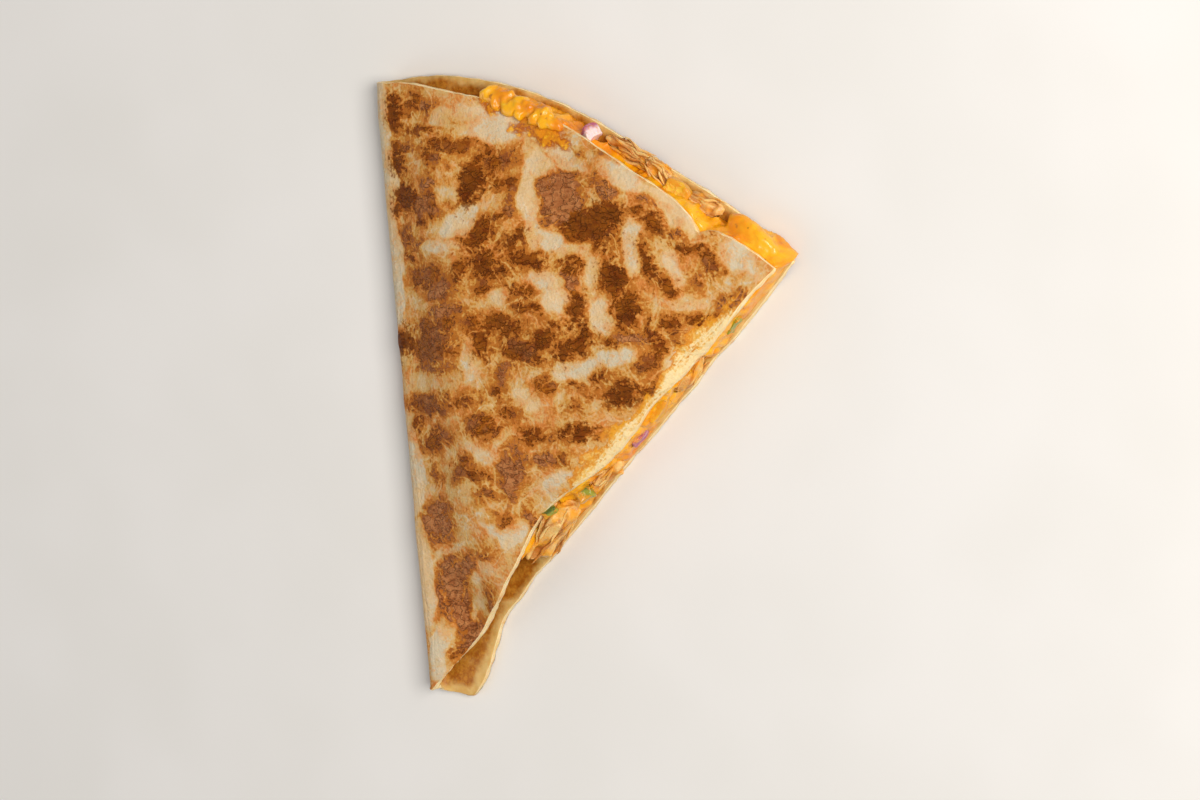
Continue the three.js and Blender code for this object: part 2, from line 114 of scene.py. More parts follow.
# Areas of the upper crust that stayed pale and floury, in the same form, ending in how pale
FLOURY_AREAS = [
    (1.4, 128, 28, 4.0, 90, 1.0), (1.4, 106.5, 14.5, 4.4, 90, 1.0), (1.6, 58, 14, 3.8, 90, 0.9),
    (2.0, 30, 14, 3.6, 88, 0.9), (4.5, 11, 8.0, 3.0, 70, 0.9), (34, 141, 10.0, 4.4, -12, 0.9),
    (27, 118.5, 6.5, 3.4, 30, 1.0), (24.5, 126, 3.0, 2.0, 60, 0.5), (46, 121, 10.5, 2.4, 95, 1.0),
    (50, 114, 6.0, 2.2, -25, 1.0), (57.5, 110.6, 5.0, 1.3, -8, 0.6), (20, 112.3, 7.5, 1.5, 0, 0.8),
    (50.5, 104, 5.5, 2.6, -10, 1.0), (52.5, 99, 3.6, 2.5, 30, 1.0), (36, 100.4, 3.2, 2.2, 0, 0.7),
    (26.5, 85, 5.5, 2.4, 80, 0.8), (56, 83, 7.0, 2.2, 15, 1.0), (57.5, 131, 7.0, 2.4, -20, 1.0),
    (22, 142.6, 5.0, 2.6, 0, 0.8), (63, 106, 4.0, 2.2, 80, 0.7), (64, 94.5, 5.0, 2.4, -50, 0.9),
    (72.5, 111, 6.4, 2.6, 80, 1.0), (83, 105.5, 5.0, 1.5, 110, 0.8), (86, 97.6, 6.0, 1.7, 0, 0.6),
    (70, 128.2, 9.0, 2.6, -30, 1.0), (84.5, 119.2, 8.0, 2.8, -37, 1.0), (99, 107.5, 5.0, 3.6, -45, 0.8),
    (89, 89.8, 6.0, 1.5, 12, 0.7), (67.5, 85, 7.0, 2.0, 8, 0.8), (81.5, 83.5, 4.0, 1.4, 62, 0.9),
    (42, 75, 4.2, 3.6, 0, 0.6), (34, 66, 4.4, 1.6, 40, 0.6), (27, 62.5, 5.0, 1.8, -25, 0.6),
    (15, 57.6, 5.0, 1.2, 0, 0.5), (47, 55.3, 5.0, 2.2, 28, 0.9), (33, 42, 4.6, 3.2, 42, 1.0),
    (28, 43.3, 3.4, 1.8, 0, 0.8), (24.5, 33.3, 3.4, 2.2, -20, 0.8), (12, 36.8, 8.0, 1.0, 20, 0.7),
    (18.5, 25, 3.0, 1.0, 75, 0.5), (44.5, 139.5, 3.0, 2.0, 0, 0.5), (38, 124.5, 1.6, 5.0, 0, 0.3),
    (21, 126, 5.5, 1.8, 90, 0.8), (49, 130.6, 5.0, 2.0, -20, 1.0), (19, 30, 2.2, 1.6, 60, 1.0),
    (15.6, 22, 3.0, 0.8, 75, 0.8),
]

# Cheese that ran out over the round edge and fried on the crust, in the same form up to the heading
CRISPED_CHEESE = [
    (49.5, 138.6, 5.4, 2.6, -30), (46, 141, 3.2, 1.6, -25), (54, 136, 2.6, 1.4, -35),
    (38, 146.3, 4.2, 2.0, -15), (43.5, 139.5, 2.0, 1.2, 0),
]

# Lumps of the cheese that ran over the round edge: from fold, from tip, height, radius
CHEESE_LUMPS = [
    (34.2, 147.4, 9.6, 2.1), (36.6, 145.9, 11.0, 1.7), (39.3, 146.2, 9.8, 2.6), (40.6, 144.2, 11.3, 1.5),
    (45.4, 143.8, 10.2, 2.2), (43.9, 142.6, 11.7, 1.3), (47.4, 141.2, 11.9, 1.5), (50.0, 140.4, 12.0, 1.3),
    (52.0, 140.6, 10.8, 1.6), (54.0, 139.4, 10.9, 1.2), (37.8, 148.0, 8.4, 1.8), (48.0, 143.8, 8.6, 1.7),
]

GRAIN_ROUGHNESS = 0.55  # weight of the finer features in a finish's noise


class Signal:
    """A number on its way through a finish's nodes. Arithmetic on it adds Math nodes."""

    def __init__(self, finish, socket):
        self.finish = finish
        self.socket = socket

    def maths(self, operation, first, second):
        return self.finish.node("ShaderNodeMath", {"operation": operation}, {0: first, 1: second})

    def __add__(self, other):
        return self.maths("ADD", self, other)

    def __radd__(self, other):
        return self.maths("ADD", other, self)

    def __sub__(self, other):
        return self.maths("SUBTRACT", self, other)

    def __rsub__(self, other):
        return self.maths("SUBTRACT", other, self)

    def __mul__(self, other):
        return self.maths("MULTIPLY", self, other)

    def __rmul__(self, other):
        return self.maths("MULTIPLY", other, self)

    def __abs__(self):
        return self.maths("ABSOLUTE", self, 0)

    def most(self, other):
        return self.maths("MAXIMUM", self, other)


class Finish:
    """A material built from nodes, with its patterns on Object coordinates in millimetres."""

    def __init__(self, name, **constants):
        self.material = bpy.data.materials.new(name)
        self.material.use_nodes = True
        self.tree = self.material.node_tree
        self.shader = self.tree.nodes["Principled BSDF"]
        for socket, value in constants.items():
            self.shader.inputs[socket.replace("_", " ")].default_value = value
        coordinates = self.node("ShaderNodeTexCoord", out="Object")
        self.place = self.scaled(coordinates, (1 / MM,) * 3)

    def node(self, kind, settings=(), sockets=(), out=0):
        """Adds a node, makes its settings, then its socket values and links; returns an output."""
        made = self.tree.nodes.new(kind)
        for setting, value in dict(settings).items():
            setattr(made, setting, value)
        for key, value in dict(sockets).items():
            self.feed(made.inputs[key], value)
        return Signal(self, made.outputs[out])

    def feed(self, socket, value):
        if isinstance(value, Signal):
            self.tree.links.new(value.socket, socket)
        else:
            socket.default_value = value

    def wear(self, **inputs):
        """Links or sets the shader's own inputs."""
        for socket, value in inputs.items():
            self.feed(self.shader.inputs[socket.replace("_", " ")], value)
        return self.material

    def scaled(self, vector, factors):
        return self.node("ShaderNodeVectorMath", {"operation": "MULTIPLY"}, {0: vector, 1: factors})

    def shifted(self, vector, shift):
        return self.node("ShaderNodeVectorMath", {"operation": "ADD"}, {0: vector, 1: (shift,) * 3})

    def attribute(self, name):
        return self.node("ShaderNodeAttribute", {"attribute_name": name}, out="Fac")

    def grain(self, size, detail=3.0, stretch=(1, 1, 1), shift=0.0, warp=0.0, turn=0.0):
        """Noise with features of about `size` millimetres, between about -0.5 and 0.5."""
        turned = {"Vector": self.place, "Rotation": (0, 0, turn)}
        place = self.node("ShaderNodeMapping", {}, turned) if turn else self.place
        place = self.scaled(place, tuple(1 / (size * s) for s in stretch))
        sockets = {"Vector": self.shifted(place, shift), "Scale": 1.0, "Detail": detail}
        sockets.update({"Roughness": GRAIN_ROUGHNESS, "Distortion": warp})
        return self.node("ShaderNodeTexNoise", {}, sockets) - 0.5

    def cells(self, size, shift=0.0, out="Distance"):
        """Distance to, or random colour of, scattered points about `size` millimetres apart."""
        place = self.shifted(self.scaled(self.place, (1 / size,) * 3), shift)
        return self.node("ShaderNodeTexVoronoi", {}, {"Vector": place, "Scale": 1.0}, out)

    def step(self, value, low, high):
        """0 below `low`, 1 above `high`, and smooth between them."""
        sockets = {"Value": value, "From Min": low, "From Max": high}
        return self.node("ShaderNodeMapRange", {"interpolation_type": "SMOOTHSTEP"}, sockets)

    def mix(self, factor, first, second):
        """The colour that is `factor` of the way from the first to the second."""
        sockets = {0: factor, 6: first, 7: second}
        return self.node("ShaderNodeMix", {"data_type": "RGBA"}, sockets, out=2)

    def bump(self, height, depth, strength):
        """A normal for relief `depth` millimetres high where `height` goes from 0 to 1."""
        sockets = {"Strength": strength, "Distance": depth * MM, "Height": height}
        return self.node("ShaderNodeBump", {}, sockets)


def shade(red, green, blue):
    """A colour from its 0-255 display values."""
    def linear(level):
        level /= 255
        return level / 12.92 if level <= 0.04045 else ((level + 0.055) / 1.055) ** 2.4

    return (linear(red), linear(green), linear(blue), 1.0)


def crust_finish():
    """The griddled outside: pale floury dough, golden mottle and browned, leathery patches."""
    f = Finish("griddled_crust", Subsurface_Weight=0.05, Subsurface_Scale=0.8 * MM, Specular_IOR_Level=0.1)
    toast = f.attribute("toast")
    char = f.attribute("char")
    floury = f.attribute("floury")
    crisp = f.attribute("crisp")
    pressed = f.attribute("pressed")
    fine = f.grain(0.7, 4)
    small = f.grain(1.9, 4, shift=7, warp=0.3)
    middle = f.grain(5.0, 4, shift=13, warp=0.4)
    broad = f.grain(17, 2, shift=29)
    speck = f.grain(1.5, 3, shift=37)
    furrow = f.grain(1.3, 3, stretch=(5, 1, 1), shift=61, warp=0.8, turn=FURROW_HEADING)
    vein = f.step(0.045 - abs(f.grain(8, 3, shift=71, warp=0.6)), 0, 0.045)

    # How far each spot has browned
    heat = toast.most(-3.6) - 4.2 * floury.most(0.5 * vein) + 5 * small + 6 * fine + 5 * middle
    mottled = f.step(0.5 * heat + 9 * speck, 0.1, 0.9)
    russet = f.step(heat + 4 * speck, -2.4, -1.4).most(mottled * 0.9)
    brown = f.step(heat + 4 * speck, -0.6, 0.1).most(mottled * 0.5)
    amber = f.step(heat + 4 * middle, -5.0, -2.4)
    blush = f.step(heat + 5 * middle, -7.6, -4.9)
    rim = brown * (1 - f.step(heat, 0.3, 1.8))
    core = f.step(0.4 * toast + 6 * small + 6 * fine + 2.4 * (char - 0.7), 0.3, 1.8)
    leather = f.step(small + 0.7 * fine + 0.8 * furrow + 0.7 * middle, -0.26, 0.28)

    # Its tones, from the palest to the darkest
    dusty = f.mix(f.step(broad + middle, -0.2, 0.08), shade(222, 188, 140), shade(210, 194, 164))
    dusty = f.mix(f.step(small + fine, 0.0, 0.3) * 0.6, dusty, shade(230, 215, 188))
    dusty = f.mix(f.step(furrow - 0.6 * small, 0.02, 0.3) * 0.6, dusty, shade(214, 172, 112))
    cream = f.mix(f.step(middle + small, -0.15, 0.15), shade(215, 170, 102), shade(219, 167, 110))
    golden = f.mix(f.step(middle - 0.5 * broad, -0.1, 0.16), shade(200, 134, 48), shade(208, 122, 50))
    golden = f.mix(f.step(small - fine, -0.1, 0.3) * 0.7, golden, shade(224, 164, 84))
    toasted = f.mix(leather, shade(166, 88, 18), shade(192, 116, 40))
    tanned = f.mix(leather, shade(162, 96, 50), shade(194, 128, 76))
    burnt = f.mix(leather, shade(114, 52, 2), shade(176, 100, 20))
    browned = f.mix(f.step(char + 1.2 * middle, 0.4, 0.75), tanned, burnt)
    browned = f.mix(rim * 0.45, browned, shade(116, 48, 2))
    dark = f.mix(f.step(fine, -0.1, 0.2), shade(82, 36, 2), shade(112, 54, 8))

    colour = f.mix(blush * 0.9, dusty, cream)
    colour = f.mix(amber * 0.88, colour, golden)
    colour = f.mix(russet * 0.85, colour, toasted)
    colour = f.mix(brown, colour, browned)
    colour = f.mix(core * f.step(char, 0.3, 0.9) * 0.7, colour, dark)
    # Thin dark lines in the browned crust, along the grooves that the bump carves: painted shade in the
    # wrinkle creases.
    wrinkle = f.step(0.05 - abs(f.grain(1.7, 2, stretch=(1.6, 1, 1), shift=41)), 0, 0.05)
    colour = f.mix(wrinkle * brown * 0.3, colour, shade(80, 36, 4))

    # The band that the knife pressed thin along the cut
    streak = f.grain(1.5, 4, stretch=(1, 4, 1), shift=53, warp=0.7, turn=CUT_HEADING)
    ragged = pressed + 1.4 * streak + 1.3 * middle + 0.3 * small
    torn = f.step(ragged, 0.34, 0.5) * f.step(pressed, 0.05, 0.25)
    buttery = f.mix(f.step(ragged + fine, 0.45, 0.9), shade(216, 134, 36), shade(236, 188, 96))
    buttery = f.mix(f.step(broad + middle - streak, 0.02, 0.3) * 0.8, buttery, shade(232, 158, 34))
    creamy = f.step(ragged - 1.5 * middle + fine, 0.66, 1.0)
    buttery = f.mix(creamy, buttery, shade(246, 220, 164))
    buttery = f.mix(f.step(speck - 0.4 * streak, 0.2, 0.4) * 0.3, buttery, shade(190, 104, 24))
    colour = f.mix(torn * 0.94, colour, buttery)
    bare = brown * (1 - torn)

    # Cheese that fried on the crust
    fried = f.step(crisp + 3 * fine + 5 * small, -1.5, 0.2)
    rust = f.mix(f.step(crisp + 9 * small + 7 * fine, -0.6, 1.8), shade(168, 80, 6), shade(222, 138, 16))
    rust = f.mix(f.step(small + speck, 0.06, 0.26), rust, shade(244, 178, 34))
    colour = f.mix(fried * 0.92, colour, rust)

    roughness = 0.62 + 0.4 * fine - 0.14 * brown - 0.2 * fried
    height = 0.6 * fine + 0.8 * small + (0.9 * furrow - 0.5 * wrinkle) * bare + 0.9 * streak * torn
    return f.wear(Base_Color=colour, Roughness=roughness, Normal=f.bump(height, 0.6, 0.85))


def filling_side_finish():
    """The inside of the dough, steamed soft and stained by the filling, and darker away from its edges as
    painted shade inside the fold.
    """
    f = Finish("filling_side", Subsurface_Weight=0.08, Subsurface_Scale=1.0 * MM, Specular_IOR_Level=0.35)
    edge = f.attribute("edge")
    fine = f.grain(0.8, 4)
    small = f.grain(2.6, 4, shift=5)
    middle = f.grain(7, 3, shift=11)
    pale = f.mix(f.step(small, -0.2, 0.2), shade(212, 164, 84), shade(226, 188, 118))
    # Darker further from the cut and rolled edges: partly the filling's grease stain, partly painted shade
    # between the layers of the fold.
    stain_and_shade = f.mix(f.step(small + fine, -0.25, 0.25), shade(164, 92, 16), shade(200, 134, 42))
    colour = f.mix(f.step(edge + 9 * middle, 0.2, 2.6), pale, stain_and_shade)
    height = 0.6 * fine + small
    roughness = 0.42 + 0.3 * small
    return f.wear(Base_Color=colour, Roughness=roughness, Normal=f.bump(height, 0.4, 0.6))


def crumb_finish():
    """The cut and rolled edges of the dough: cream, layered, with toasted and buttery streaks."""
    f = Finish("dough_crumb", Subsurface_Weight=0.12, Subsurface_Scale=1.0 * MM, Specular_IOR_Level=0.3)
    fine = f.grain(0.6, 4)
    layers = f.grain(1.1, 3, stretch=(4, 4, 0.35), shift=9)
    middle = f.grain(6, 3, shift=17)
    cream = f.mix(f.step(layers, -0.2, 0.25), shade(246, 208, 138), shade(255, 238, 196))
    colour = f.mix(f.step(middle + 0.4 * fine, 0.02, 0.3) * 0.75, cream, shade(222, 146, 46))
    colour = f.mix(f.step(layers - middle, 0.2, 0.42) * 0.7, colour, shade(166, 94, 28))
    height = layers + 0.5 * fine
    return f.wear(Base_Color=colour, Roughness=0.6 + 0.3 * fine, Normal=f.bump(height, 0.4, 0.8))


def cheese_finish():
    """Melted cheese: glossy orange-yellow with paler streaks and browned bits."""
    f = Finish("melted_cheese", Subsurface_Weight=0.12, Subsurface_Scale=1.2 * MM, Coat_Roughness=0.22)
    f.shader.inputs["Subsurface Radius"].default_value = (1.0, 0.45, 0.12)
    fine = f.grain(0.7, 3)
    small = f.grain(2.2, 4, shift=5, warp=0.5)
    middle = f.grain(6.5, 3, stretch=(1, 1, 1.4), shift=11, warp=0.6)
    bits = f.grain(3.2, 2, shift=19)
    colour = f.mix(f.step(middle, -0.16, 0.16), shade(232, 138, 2), shade(247, 178, 10))
    colour = f.mix(f.step(small + 0.4 * middle, 0.12, 0.3), colour, shade(250, 198, 50))
    colour = f.mix(f.step(small - 0.5 * middle, 0.12, 0.32) * 0.8, colour, shade(208, 106, 2))
    colour = f.mix(f.step(bits + 0.4 * fine, 0.2, 0.28) * 0.75, colour, shade(176, 104, 30))
    strewn = f.step(f.cells(2.6, out="Color", shift=3), 0.56, 0.6)
    fleck = f.step(0.13 + 0.3 * fine - f.cells(2.6, shift=3), 0.0, 0.06) * strewn
    tone = f.mix(f.step(bits, -0.02, 0.02), shade(150, 52, 4), shade(98, 100, 14))
    colour = f.mix(fleck * 0.6, colour, tone)
    height = 0.3 * fine + small
    roughness = 0.32 + 0.35 * abs(small) + 0.2 * fine
    coat = f.step(middle + small, -0.2, 0.2) * 0.3
    normal = f.bump(height, 0.3, 0.5)
    return f.wear(Base_Color=colour, Roughness=roughness, Coat_Weight=coat, Normal=normal)


def chicken_finish():
    """Pulled grilled chicken: pale and golden strands, browned here and there, glossed with cheese, with
    painted shade in the splits between fibres.
    """
    f = Finish("grilled_chicken", Subsurface_Weight=0.1, Subsurface_Scale=1.0 * MM)
    strand = f.attribute("strand")
    fine = f.grain(0.5, 3)
    small = f.grain(2.4, 4, shift=5)
    broad = f.grain(6, 3, shift=43)
    # Paler on the raised fibres and darker down in the splits, by the strand tone: painted shade in the
    # splits, while each loose strand's own tone varies at random.
    colour = f.mix(f.step(strand + 0.8 * fine, -0.6, 0.4), shade(190, 112, 30), shade(244, 204, 128))
    colour = f.mix(f.step(small + broad, -0.06, 0.22) * 0.85, colour, shade(240, 164, 30))
    # Browned bits, more of them where the strand tone is low, so partly painted shade in the splits.
    colour = f.mix(f.step(small - broad - 0.3 * strand, 0.22, 0.46) * 0.65, colour, shade(146, 76, 14))
    roughness = 0.4 + 0.35 * small
    return f.wear(Base_Color=colour, Roughness=roughness, Normal=f.bump(fine, 0.25, 0.5))


def diced_finish(name, flesh, skin_tone, smeared):
    """Diced vegetable: wet flesh with a deeper skin on one side, smeared with cheese."""
    f = Finish(name, Subsurface_Weight=0.2, Subsurface_Scale=1.0 * MM, Coat_Weight=0.25)
    skin = f.attribute("skin")
    fine = f.grain(0.8, 3)
    smear = f.grain(2.6, 3, shift=23)
    colour = f.mix(f.step(skin + 0.5 * fine, 0.0, 0.7), flesh, skin_tone)
    pith = f.grain(1.3, 3, stretch=(1, 3, 1), shift=31)
    colour = f.mix(f.step(pith, 0.0, 0.3) * 0.5, colour, flesh)
    film = f.step(smear + 0.4 * fine, 0.1 - 0.3 * smeared, 0.28 - 0.3 * smeared)
    colour = f.mix(film * 0.85, colour, shade(224, 148, 24))
    height = fine + 0.8 * pith + film
    return f.wear(Base_Color=colour, Roughness=0.36 + 0.3 * fine, Normal=f.bump(height, 0.25, 0.5))


def table_finish():
    f = Finish("pale_table")
    tone = f.mix(f.step(f.grain(60, 2), -0.2, 0.2), shade(233, 230, 225), shade(237, 234, 230))
    return f.wear(Base_Color=tone, Roughness=0.7)


# Mesh helpers


def bare_solid(node):
    """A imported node's solid, with its loose triangles merged and nothing else carried over."""
    bm = bmesh.new()
    bm.from_mesh(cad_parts[node].data)
    bmesh.ops.remove_doubles(bm, verts=bm.verts, dist=MERGE)
    return bm


def mesh_of(bm, name):
    mesh = bpy.data.meshes.new(name)
    bm.to_mesh(mesh)
    bm.free()
    for carried in ("custom_normal", "UVMap"):
        if carried in mesh.attributes:
            mesh.attributes.remove(mesh.attributes[carried])
    mesh.polygons.foreach_set("use_smooth", [True] * len(mesh.polygons))
    return mesh


def modified(mesh, kind, **settings):
    """The mesh with one modifier applied."""
    draft = bpy.data.objects.new("draft", mesh)
    bpy.context.scene.collection.objects.link(draft)
    modifier = draft.modifiers.new(kind.lower(), kind)
    for setting, value in settings.items():
        setattr(modifier, setting, value)
    graph = bpy.context.evaluated_depsgraph_get()
    result = bpy.data.meshes.new_from_object(draft.evaluated_get(graph))
    bpy.data.objects.remove(draft)
    bpy.data.meshes.remove(mesh)
    return result


def rounded(mesh, levels):
    return modified(mesh, "SUBSURF", levels=levels, render_levels=levels)


def remeshed(mesh, voxel):
    """The mesh made anew from even cells of `voxel` millimetres, as one closed skin."""
    return modified(mesh, "REMESH", mode="VOXEL", voxel_size=voxel * MM, use_smooth_shade=True)


def coordinates_of(mesh):
    flat = np.empty(3 * len(mesh.vertices))
    mesh.vertices.foreach_get("co", flat)
    return flat.reshape(-1, 3)


def points_of(mesh):
    """The mesh's points in millimetres from the tip, one row each."""
    return coordinates_of(mesh) / MM - TIP


def normals_of(mesh):
    flat = np.empty(3 * len(mesh.vertices))
    mesh.vertex_normals.foreach_get("vector", flat)
    return flat.reshape(-1, 3)


def move_points(mesh, points):
    mesh.vertices.foreach_set("co", ((points + TIP) * MM).ravel())
    mesh.update()


def keep_attribute(mesh, name, values):
    mesh.attributes.new(name, "FLOAT", "POINT").data.foreach_set("value", values)


def grain(points, size, seed, stretch=(1, 1, 1)):
    """Smooth noise with features of about `size` millimetres, between about -1 and 1."""
    seed_step = 17.3
    scaled = points / (size * np.array(stretch)) + seed * seed_step
    return np.array([noise.noise(Vector(row)) for row in scaled])


def relief(points, *layers):
    """A sum of noise layers, each given as a height and what grain() takes."""
    return sum(height * grain(points, *layer) for height, *layer in layers)


def step(values, low, high):
    """0 below `low`, 1 above `high`, and smooth between them."""
    share = np.clip((values - low) / (high - low), 0, 1)
    return share * share * (3 - 2 * share)


def spread_over(mesh, values, rounds):
    """The values averaged with their neighbours' along the mesh's edges."""
    ends = np.empty(2 * len(mesh.edges), dtype=np.int64)
    mesh.edges.foreach_get("vertices", ends)
    first, second = ends.reshape(-1, 2).T
    count = 1 + np.bincount(ends, minlength=len(values))
    for _ in range(rounds):
        gathered = np.bincount(first, values[second], len(values))
        gathered += np.bincount(second, values[first], len(values))
        values = (values + gathered) / count
    return values


def finished(name, mesh, *finishes):
    piece = bpy.data.objects.new(name, mesh)
    bpy.context.scene.collection.objects.link(piece)
    for finish in finishes:
        mesh.materials.append(finish)
    return piece


def serve(piece, node):
    """Fixes a piece to the wedge and hides the imported node that it stands for."""
    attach(piece, "root")
    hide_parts(node)


# The tortilla

CRUST, FILLING_SIDE, CRUMB = range(3)

ROUNDING = 2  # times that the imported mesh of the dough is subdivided
EDGE_CREASE = 0.8  # keeps the edges of the dough from rounding away
TOP_FACE = {"slope": 0.25, "height": 4}  # least upward normal and least height of a top face
FAR = 9.0  # distances from a patch are kept up to this far
EDGE_REACH = 12.0  # distances from the edge of the dough are kept up to this far
FOLD_REACH = 6.0  # the upper crust's marks fade out round the fold, over this width of the lower

# Where the knife pressed the upper crust thin along the cut: the band's width, how much and over
# what length it wavers, and the distances from the tip over which it starts and ends
PRESSED = {"width": 6.4, "waver": 2.8, "waver_length": 14, "starts": (46, 72), "ends": (126, 148)}

# A tear in the upper round edge, by its bearing from the tip in radians
NICK = {"bearing": 0.667, "half_width": 0.011, "reach": (137, 148), "depth": 2.2, "above": 5.5}

# Browned patches of the lower crust, which the photograph doesn't show: their seed, how many, how far
# from the tip at most, and the ranges of length, width for a length of 1, heading and darkness
UNDERSIDE = {
    "seed": 11, "count": 95, "reach": 150, "length": (1.5, 7.5), "width": (0.35, 0.75),
    "heading": (-60, 60), "darkness": (0.3, 1),
}


def mark_sides(bm):
    """Sets each face of the dough as crust, filling side or crumb, divided by its sharp edges."""
    left = set(bm.faces)
    sides = []
    while left:
        front = [left.pop()]
        side = list(front)
        while front:
            for border in front.pop().edges:
                if border.calc_face_angle(0) > CRUMB_EDGE:
                    continue
                for face in border.link_faces:
                    if face in left:
                        left.discard(face)
                        front.append(face)
                        side.append(face)
        sides.append(side)
    sides.sort(key=len)
    lowest = [min(face.calc_center_median().z for face in side) for side in sides[-2:]]
    outer = sides[-2 + lowest.index(min(lowest))]
    inner = sides[-1 - lowest.index(min(lowest))]
    for face in bm.faces:
        face.material_index = CRUMB
    for face in outer:
        face.material_index = CRUST
    for face in inner:
        face.material_index = FILLING_SIDE


def patch_depth(points, patches):
    """Millimetres inside (over 0) or outside the nearest patch, and that patch's last value."""
    rows = np.array(patches, dtype=float)
    from_fold, from_tip, length, width, heading = rows.T[:5]
    turn = np.radians(heading)
    across = points[:, :1] - from_fold
    along = points[:, 1:2] - from_tip
    main = (across * np.cos(turn) + along * np.sin(turn)) / length
    side = (along * np.cos(turn) - across * np.sin(turn)) / width
    depth = (1 - np.hypot(main, side)) * np.sqrt(length * width)
    nearest = depth.argmax(axis=1)
    return depth[np.arange(len(points)), nearest], rows[nearest, -1]


def underside_patches():
    """Browned patches strewn over the lower crust, in the form of the upper crust's."""
    draw = random.Random(UNDERSIDE["seed"])
    patches = []
    for _ in range(UNDERSIDE["count"]):
        reach = UNDERSIDE["reach"] * math.sqrt(draw.random())
        bearing = CUT_HEADING * draw.random()
        length = draw.uniform(*UNDERSIDE["length"])
        width = length * draw.uniform(*UNDERSIDE["width"])
        heading = draw.uniform(*UNDERSIDE["heading"])
        darkness = draw.uniform(*UNDERSIDE["darkness"])
        place = (reach * math.sin(bearing), reach * math.cos(bearing))
        patches.append((*place, length, width, heading, darkness))
    return patches


def is_top_face(face):
    raised = face.calc_center_median().z > TOP_FACE["height"] * MM
    return raised and face.material_index == CRUST and face.normal.z > TOP_FACE["slope"]


def tortilla_mesh():
    """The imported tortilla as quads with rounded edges, twice as fine on its top."""
    bm = bare_solid("tortilla")
    mark_sides(bm)
    wide = math.radians(180)
    bmesh.ops.join_triangles(
        bm, faces=bm.faces, cmp_materials=True, angle_face_threshold=wide, angle_shape_threshold=wide
    )
    crease = bm.edges.layers.float.new("crease_edge")
    for border in bm.edges:
        if border.calc_face_angle(0) > CRUMB_EDGE:
            border[crease] = EDGE_CREASE
    mesh = rounded(mesh_of(bm, "griddled_tortilla"), ROUNDING)

    bm = bmesh.new()
    bm.from_mesh(mesh)
    bpy.data.meshes.remove(mesh)
    top_edges = [border for border in bm.edges if any(map(is_top_face, border.link_faces))]
    bmesh.ops.subdivide_edges(bm, edges=top_edges, cuts=1, use_grid_fill=True)
    return mesh_of(bm, "griddled_tortilla")


def sides_of(mesh):
    """For each point of the dough, whether it is on the crust, filling side or crumb."""
    sides = np.zeros((3, len(mesh.vertices)), dtype=bool)
    for face in mesh.polygons:
        sides[face.material_index, list(face.vertices)] = True
    return sides


def edge_distance(points, on_edge, reach):
    """Millimetres to the dough's nearest cut or rolled edge, up to `reach`."""
    tree = KDTree(int(on_edge.sum()))
    for row in np.flatnonzero(on_edge):
        tree.insert(Vector(points[row]), int(row))
    tree.balance()
    return np.array([min(reach, tree.find(Vector(row))[2]) for row in points])


def griddle_marks(points, upper, on_crumb):
    """What the finishes read at each point of the dough, by attribute name."""
    strayed = points.copy()
    for axis in (0, 1):
        strayed[:, axis] += relief(points, (1.6, 6.5, axis), (1.1, 2.4, axis + 2))
    toast, char = patch_depth(strayed, GRIDDLE_PATCHES)
    low_toast, low_char = patch_depth(strayed, underside_patches())
    crisp, _ = patch_depth(strayed, CRISPED_CHEESE)
    pale_depth, pale = patch_depth(strayed, FLOURY_AREAS)
    pale *= step(pale_depth, -0.6, 0.7)
    low_pale = 0.4 * step(grain(points, 14, 4), 0, 0.6)
    by_fold = step(FOLD_REACH - points[:, 0], 0, FOLD_REACH)

    def round_fold(above, below):
        return np.where(upper, above, below + (above - below) * by_fold)

    reach = np.hypot(points[:, 0], points[:, 1])
    past_cut = points[:, 0] * math.cos(CUT_HEADING) - points[:, 1] * math.sin(CUT_HEADING)
    band = PRESSED["width"] + PRESSED["waver"] * grain(points, PRESSED["waver_length"], 15)
    pressed = step(past_cut / band, -1, -0.12) * upper
    pressed *= step(reach, *PRESSED["starts"]) * (1 - step(reach, *PRESSED["ends"]))
    return {
        "toast": np.clip(round_fold(toast, low_toast), -FAR, FAR),
        "char": round_fold(char, low_char),
        "floury": round_fold(pale, low_pale),
        "crisp": np.where(upper, crisp, -FAR),
        "edge": edge_distance(points, on_crumb, EDGE_REACH),
        "pressed": pressed,
    }


def dough_relief(points, normals, marks, upper, on_inside, on_crumb):
    """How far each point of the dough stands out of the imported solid."""
    toast = marks["toast"]
    blister = 0.26 * step(toast, -1.2, 1.4) + 0.1 * step(toast, -5, 0)
    swell = relief(points, (0.3, 12, 5), (0.14, 4, 6), (0.06, 1.5, 7))
    leather = 0.07 * step(toast, -0.5, 1) * (1 - 2 * abs(grain(points, 1.7, 8, (1.6, 1, 1))))
    fold = step(7 - points[:, 0], 0, 5)
    creases = -0.16 * fold * (1 - abs(grain(points, 1.3, 9, (1, 7, 1)))) ** 6
    fried = 0.35 * step(marks["crisp"], -0.6, 1.2) * (1 + grain(points, 2.2, 10))
    above = blister + swell * (1 - 0.5 * fold) + leather + creases + fried

    # The lower crust lies on the table, so its unbrowned parts draw back from it
    hollows = 0.16 * (1 - step(toast, -1.5, 1.2)) + 0.1 * (1 + grain(points, 3.5, 6))
    below = -hollows * step(-normals[:, 2], 0.3, 0.9)
    inside = relief(points, (0.18, 4, 11), (0.07, 1.4, 12))
    ragged = relief(points, (0.32, 2.6, 13), (0.16, 0.9, 14, (1, 1, 0.5)))
    return np.select([on_crumb, on_inside, upper], [ragged, inside, above], below)


def tear_nick(points, reach):
    """Draws the upper round edge back towards the tip where it is torn."""
    bearing = np.arctan2(points[:, 0], points[:, 1])
    torn = NICK["depth"] * np.exp(-(((bearing - NICK["bearing"]) / NICK["half_width"]) ** 2))
    torn *= step(reach, *NICK["reach"]) * (points[:, 2] > NICK["above"])
    points[:, 0] -= torn * np.sin(bearing)
    points[:, 1] -= torn * np.cos(bearing)


